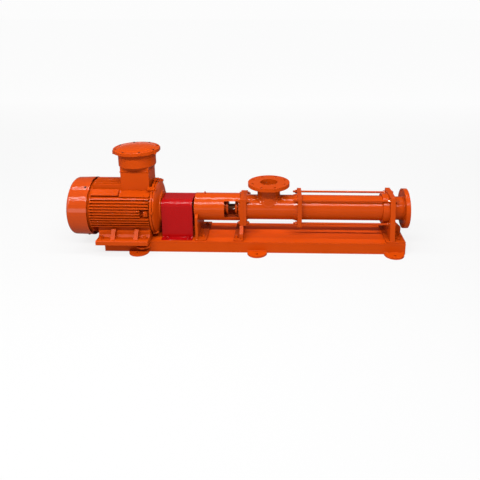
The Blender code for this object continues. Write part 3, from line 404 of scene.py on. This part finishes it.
# Motor ends
# The drive end shield is a turned iron bell held by screws in its ears. The fan cover is pressed
# from sheet, with a ventilation grille in its end, and is held by four small dark screws.
COVER_R = 0.1797
COVER_SCREW = (0.011, 0.003, (0.007, 0.001), (0.003, 0.0005))
COVER_SCREW_X = -0.926
COVER_SCREW_SINK = 0.0012
EAR_SCREW = (0.016, 0.009, (0.0115, 0.002), (0.005, 0.0005))
EAR_X, EAR_CIRCLE_R = -0.5076, 0.163
END_SCREW_TURNS = (58, 122, 238, 302)
GREASE_PLUG = (0.013, 0.006, (0.0105, 0.006), (0.003, 0.001))
PLUG_X, PLUG_Y, PLUG_Z = -0.5155, 0.1640, AXIS + 0.017

shell_enamel = sprayed_enamel("shell_enamel", ORANGE, ORANGE_DARK, 0.09, 0.001, 0.0, 0.85)
screw_black = sprayed_enamel("screw_black", (0.045, 0.008, 0.002), (0.03, 0.006, 0.002), 0.45, 0.01,
                             0.0, 0.2)
coat(cast_enamel, "rear_end_shield", "drive_end_shield", "lifting_lug")
coat(shell_enamel, "fan_cover")
cover_seats, ear_seats = [], []
for turn in END_SCREW_TURNS:
    angle = math.radians(turn)
    out = Vector((0.0, math.cos(angle), math.sin(angle)))
    cover_seat = Vector((COVER_SCREW_X, 0.0, AXIS)) + out * (COVER_R - COVER_SCREW_SINK)
    cover_seats.append((tuple(cover_seat), tuple(out), 0.2))
    ear_seats.append((tuple(Vector((EAR_X, 0.0, AXIS)) + out * EAR_CIRCLE_R), (1, 0, 0), angle))
fasteners("fan_cover_screws", cover_seats, COVER_SCREW, screw_black)
plug_seats = [((PLUG_X, side * PLUG_Y, PLUG_Z), (0, side, 0), 0.5) for side in (-1, 1)]
fasteners("grease_plugs", plug_seats, GREASE_PLUG, cast_enamel)
fasteners("end_shield_screws", ear_seats, EAR_SCREW, cast_enamel)

# Terminal box
# Heavy cast box of an enclosed motor: square body with a seam round it, round neck, and a lid
# held by dark screws that are sunk into its ears.
LID_SCREW = (0.012, 0.0018, (0.0065, 0.0006), (0.003, 0.0004))
LID_SCREW_COUNT = 8
LID_X, LID_CIRCLE_R, LID_TOP = -0.6275, 0.126, AXIS + 0.3783
BOX_X, BOX_SEAM_HALF_L, BOX_SEAM_HALF_W, BOX_SEAM_Z = -0.6287, 0.0862, 0.0755, AXIS + 0.245

coat(cast_enamel, "terminal_box", "terminal_box_neck", "terminal_box_lid")
lid_seats = []
for index in range(LID_SCREW_COUNT):
    angle = math.tau * (index + 0.5) / LID_SCREW_COUNT
    seat = (LID_X + LID_CIRCLE_R * math.cos(angle), LID_CIRCLE_R * math.sin(angle), LID_TOP)
    lid_seats.append((seat, (0, 0, 1), angle))
fasteners("lid_screws", lid_seats, LID_SCREW, screw_black)
corners = [(BOX_X + along * BOX_SEAM_HALF_L, across * BOX_SEAM_HALF_W, BOX_SEAM_Z)
           for along, across in ((-1, -1), (1, -1), (1, 1), (-1, 1), (-1, -1))]
weld("box_seam", [corners], 0.0040, cast_enamel)

# Coupling and guard
# The guard is bent from steel sheet and sprayed signal red, with two screws along each foot.
# Inside it a pair of iron coupling halves grips a rubber element.
GUARD_SCREW = (0.017, 0.008, (0.012, 0.002), (0.005, 0.003))
GUARD_SCREW_X = (-0.442, -0.312)
GUARD_SCREW_Y, GUARD_SCREW_Z = 0.106, BASE_TOP + 0.0033
TOOL_MARKS = (900.0, 6.0, 6.0)

guard_enamel = sprayed_enamel("guard_enamel", (0.31, 0.0015, 0.002), (0.29, 0.001, 0.0015), 0.10,
                              0.001, 0.002, 0.60)
coat(guard_enamel, "coupling_guard")
guard_seats = [((x, side * GUARD_SCREW_Y, GUARD_SCREW_Z), (0, 0, 1), 0.4)
               for side in (-1, 1) for x in GUARD_SCREW_X]
fasteners("guard_screws", guard_seats, GUARD_SCREW, guard_enamel)


def machined_metal(name, light, dark, rough, metallic):
    """Turned metal: fine rings of tool marks round the shaft and a slight stain."""
    finish = bpy.data.materials.new(name)
    finish.use_nodes = True
    tree = finish.node_tree
    shader = tree.nodes["Principled BSDF"]
    shader.inputs["Metallic"].default_value = metallic
    place = tree.nodes.new("ShaderNodeTexCoord").outputs["Object"]
    stretch = tree.nodes.new("ShaderNodeMapping")
    stretch.inputs["Scale"].default_value = TOOL_MARKS
    tree.links.new(place, stretch.inputs["Vector"])
    marks = noise(tree, stretch.outputs["Vector"], 1.0, 2.0)
    tone = two_tones(tree, noise(tree, place, 30.0, 4.0), 0.35, dark, 0.60, light)
    tree.links.new(tone, shader.inputs["Base Color"])
    spread = graded(tree, marks, 0.0, 1.0, rough - 0.08, rough + 0.15)
    tree.links.new(spread, shader.inputs["Roughness"])
    relief(tree, marks, 0.15, 0.0005)
    return finish


shaft_steel = machined_metal("shaft_steel", (0.30, 0.28, 0.26), (0.17, 0.13, 0.10), 0.35, 1.0)
coupling_iron = machined_metal("coupling_iron", (0.16, 0.15, 0.14), (0.09, 0.08, 0.07), 0.55, 1.0)
black_rubber = machined_metal("black_rubber", (0.020, 0.020, 0.020), (0.012, 0.012, 0.012), 0.70, 0.0)
fan_plastic = machined_metal("fan_plastic", (0.035, 0.035, 0.038), (0.022, 0.022, 0.024), 0.45, 0.0)
# The pump shaft's steel is painted dark brown: painted shade for where it shows inside the dim windows of
# the bearing housing.
shade_dark_steel = machined_metal("shade_dark_steel", (0.16, 0.060, 0.025), (0.07, 0.020, 0.010), 0.45, 0.6)
coat(shaft_steel, "motor_shaft", "connecting_rod", "rotor")
coat(shade_dark_steel, "pump_shaft")
coat(coupling_iron, "coupling_motor_half", "coupling_pump_half")
coat(black_rubber, "coupling_element", "stator_lining")
coat(fan_plastic, "cooling_fan")

# Bearing housing and gland
# A steel tube with two windows where the gland is reached, welded to a plate that stands on its
# own foot. The grease nipple is on top, and two studs draw the gland follower in.
PEDESTAL_SCREW = (0.019, 0.009, (0.0135, 0.0025), (0.006, 0.004))
PEDESTAL_SCREW_PLACES = ((-0.222, 0.089), (-0.0185, 0.095))
FOOT_PLATE_TOP = BASE_TOP + 0.0103
NIPPLE = (0.011, 0.006, (0.0085, 0.0015), (0.0035, 0.006))
NIPPLE_X, NIPPLE_Z = -0.218, AXIS + 0.0850
GLAND_NUT = (0.010, 0.006, (0.0065, 0.001), (0.003, 0.008))
GLAND_NUT_X, GLAND_NUT_Y = -0.0296, 0.0370

pump_enamel = sprayed_enamel("pump_enamel", ORANGE, ORANGE_DARK, 0.14, 0.001, 0.0015, 0.28)
flange_enamel = sprayed_enamel("flange_enamel", ORANGE, ORANGE_DARK, 0.24, 0.01, 0.0015, 0.08)
coat(pump_enamel, "bearing_housing", "bearing_cover_outer", "bearing_cover_inner", "gland_follower")
coat(flange_enamel, "bearing_pedestal", "lantern_plate")
pedestal_seats = [((x, side * y, FOOT_PLATE_TOP), (0, 0, 1), 0.25)
                  for side in (-1, 1) for x, y in PEDESTAL_SCREW_PLACES]
fasteners("pedestal_screws", pedestal_seats, PEDESTAL_SCREW, pump_enamel)
fasteners("grease_nipple", [((NIPPLE_X, 0.0, NIPPLE_Z), (0, 0, 1), 0.0)], NIPPLE, pump_enamel)
stud_seats = [((GLAND_NUT_X, side * GLAND_NUT_Y, AXIS), (-1, 0, 0), 0.0) for side in (-1, 1)]
fasteners("gland_nuts", stud_seats, GLAND_NUT, shaft_steel)

# Suction casing
# Steel barrel welded to a square flange on the left and to the rod plate on the right. The inlet
# neck is set on top with a dressed weld, wide at front and back, and carries its flange. Four
# screws with nuts join the casing to the lantern plate.
CASING_NUT = (0.019, 0.010, (0.0125, 0.0025), (0.006, 0.005))
CASING_NUT_X = 0.0433
CASING_HEAD = (0.019, 0.008, (0.0125, 0.002), (0.004, 0.0004))
CASING_HEAD_X = 0.0020
CASING_SCREW_Y, CASING_SCREW_LOW, CASING_SCREW_HIGH = 0.068, AXIS - 0.078, AXIS + 0.062
INLET_X, NECK_R, NECK_TOP = 0.1775, 0.070, AXIS + 0.1410
BARREL_R = 0.0766
RING_STEPS = 64
SADDLE_STEPS = 96
SADDLE_CURVE_STEPS = 8
SADDLE_LIFT = 0.0002
SADDLE_DEPTH = 0.004

coat(pump_enamel, "suction_casing")
coat(flange_enamel, "inlet_flange")
casing_corners = [(y, z) for y in (-CASING_SCREW_Y, CASING_SCREW_Y)
                  for z in (CASING_SCREW_LOW, CASING_SCREW_HIGH)]
casing_nut_seats = [((CASING_NUT_X, y, z), (1, 0, 0), 0.2) for y, z in casing_corners]
fasteners("casing_nuts", casing_nut_seats, CASING_NUT, pump_enamel)
casing_head_seats = [((CASING_HEAD_X, y, z), (-1, 0, 0), 0.3) for y, z in casing_corners]
fasteners("casing_screw_heads", casing_head_seats, CASING_HEAD, pump_enamel)


def ring_round_x(x, radius):
    """A closed seam round the shaft axis."""
    angles = [math.tau * step / RING_STEPS for step in range(RING_STEPS + 1)]
    return [(x, radius * math.cos(angle), AXIS + radius * math.sin(angle)) for angle in angles]


collar_seam = []
for step in range(RING_STEPS + 1):
    angle = math.tau * step / RING_STEPS
    collar_seam.append((INLET_X + NECK_R * math.cos(angle), NECK_R * math.sin(angle), NECK_TOP))
weld("neck_weld", [collar_seam], 0.005, pump_enamel)


def saddle_section(angle):
    """Section of the dressed weld between neck and barrel: a hollow curve, closed inside the wall.

    It is wide at the front and back of the neck and narrow at its sides.
    """
    spread = math.sin(angle) ** 2
    up, out = 0.008 + 0.018 * spread, 0.008 + 0.002 * spread
    y = NECK_R * math.sin(angle)
    turn = math.asin(y / BARREL_R)
    along, around = math.cos(angle), math.sin(angle) * math.cos(turn)
    length = math.hypot(along, around)
    foot_x = INLET_X + NECK_R * math.cos(angle) + out * along / length
    foot_turn = turn + out * around / length / BARREL_R
    corner = Vector((INLET_X + NECK_R * math.cos(angle), y, AXIS + math.sqrt(BARREL_R ** 2 - y ** 2)))
    wall = corner + Vector((SADDLE_LIFT * math.cos(angle), SADDLE_LIFT * math.sin(angle), up))
    foot_r = BARREL_R + SADDLE_LIFT
    foot = Vector((foot_x, foot_r * math.sin(foot_turn), AXIS + foot_r * math.cos(foot_turn)))
    section = []
    for step in range(SADDLE_CURVE_STEPS + 1):
        share = step / SADDLE_CURVE_STEPS
        section.append(wall * (1 - share) ** 2 + corner * (2 * share * (1 - share)) + foot * share ** 2)
    inward = Vector((SADDLE_DEPTH * math.cos(angle), SADDLE_DEPTH * math.sin(angle),
                     SADDLE_DEPTH * math.cos(turn)))
    return section + [corner - inward]


saddle = bmesh.new()
rows = [[saddle.verts.new(point) for point in saddle_section(math.tau * step / SADDLE_STEPS)]
        for step in range(SADDLE_STEPS)]
for row, following in zip(rows, rows[1:] + rows[:1]):
    for index in range(len(row)):
        onward = (index + 1) % len(row)
        saddle.faces.new((row[index], row[onward], following[onward], following[index]))
bmesh.ops.recalc_face_normals(saddle, faces=saddle.faces)
saddle_mesh = bpy.data.meshes.new("saddle_weld")
saddle.to_mesh(saddle_mesh)
saddle.free()
saddle_mesh.shade_smooth()
saddle_mesh.set_sharp_from_angle(angle=math.radians(50))
saddle_mesh.materials.append(pump_enamel)
saddle_weld = put("saddle_weld", saddle_mesh)
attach(saddle_weld, "pump_set")
weld("barrel_weld", [ring_round_x(CASING_NUT_X, BARREL_R)], 0.004, pump_enamel)

# Stator and tie rods
# A steel tube with its rubber lining, clamped between the rod plate and the end plate by four
# tie rods with nuts at both ends. The tube's coat shines less than the barrel's.
TIE_NUT = (0.021, 0.011, (0.014, 0.0025))
TIE_ROD_R = 0.0064
TIE_ROD_OFFSET = 0.075

tube_enamel = sprayed_enamel("tube_enamel", ORANGE, ORANGE_DARK, 0.20, 0.001, 0.0015, 0.13)
coat(tube_enamel, "stator_tube")
coat(pump_enamel, "tie_rod_upper_front", "tie_rod_upper_back", "tie_rod_lower_front",
     "tie_rod_lower_back")
for nuts_name, x, facing, twist, past in (
    ("tie_rod_nuts_left", 0.3538, -1, 0.2, 0.012),
    ("tie_rod_nuts_inner", 0.9093, -1, 0.1, 0.001),
    ("tie_rod_nuts_right", 0.9392, 1, 0.3, 0.006),
):
    nut_seats = [((x, y, AXIS + z), (facing, 0, 0), twist)
                 for y in (-TIE_ROD_OFFSET, TIE_ROD_OFFSET) for z in (-TIE_ROD_OFFSET, TIE_ROD_OFFSET)]
    fasteners(nuts_name, nut_seats, TIE_NUT + ((TIE_ROD_R, past),), pump_enamel)

# Discharge end
# A thick plate on its own foot carries the stator's end, and the discharge flange is welded to a
# short neck behind it.
END_SCREW_PLACES = ((0.964, 0.098), (0.984, 0.050))
OUTLET_NECK_R = 0.072
OUTLET_FLANGE_X, END_PLATE_X = 1.0008, 0.9397

coat(flange_enamel, "end_support_plate", "discharge_flange")
end_foot_seats = [((x, side * y, FOOT_PLATE_TOP), (0, 0, 1), 0.1)
                  for side in (-1, 1) for x, y in END_SCREW_PLACES]
fasteners("end_foot_screws", end_foot_seats, PEDESTAL_SCREW, pump_enamel)
outlet_seams = [ring_round_x(x, OUTLET_NECK_R) for x in (OUTLET_FLANGE_X, END_PLATE_X)]
weld("outlet_welds", outlet_seams, 0.004, pump_enamel)
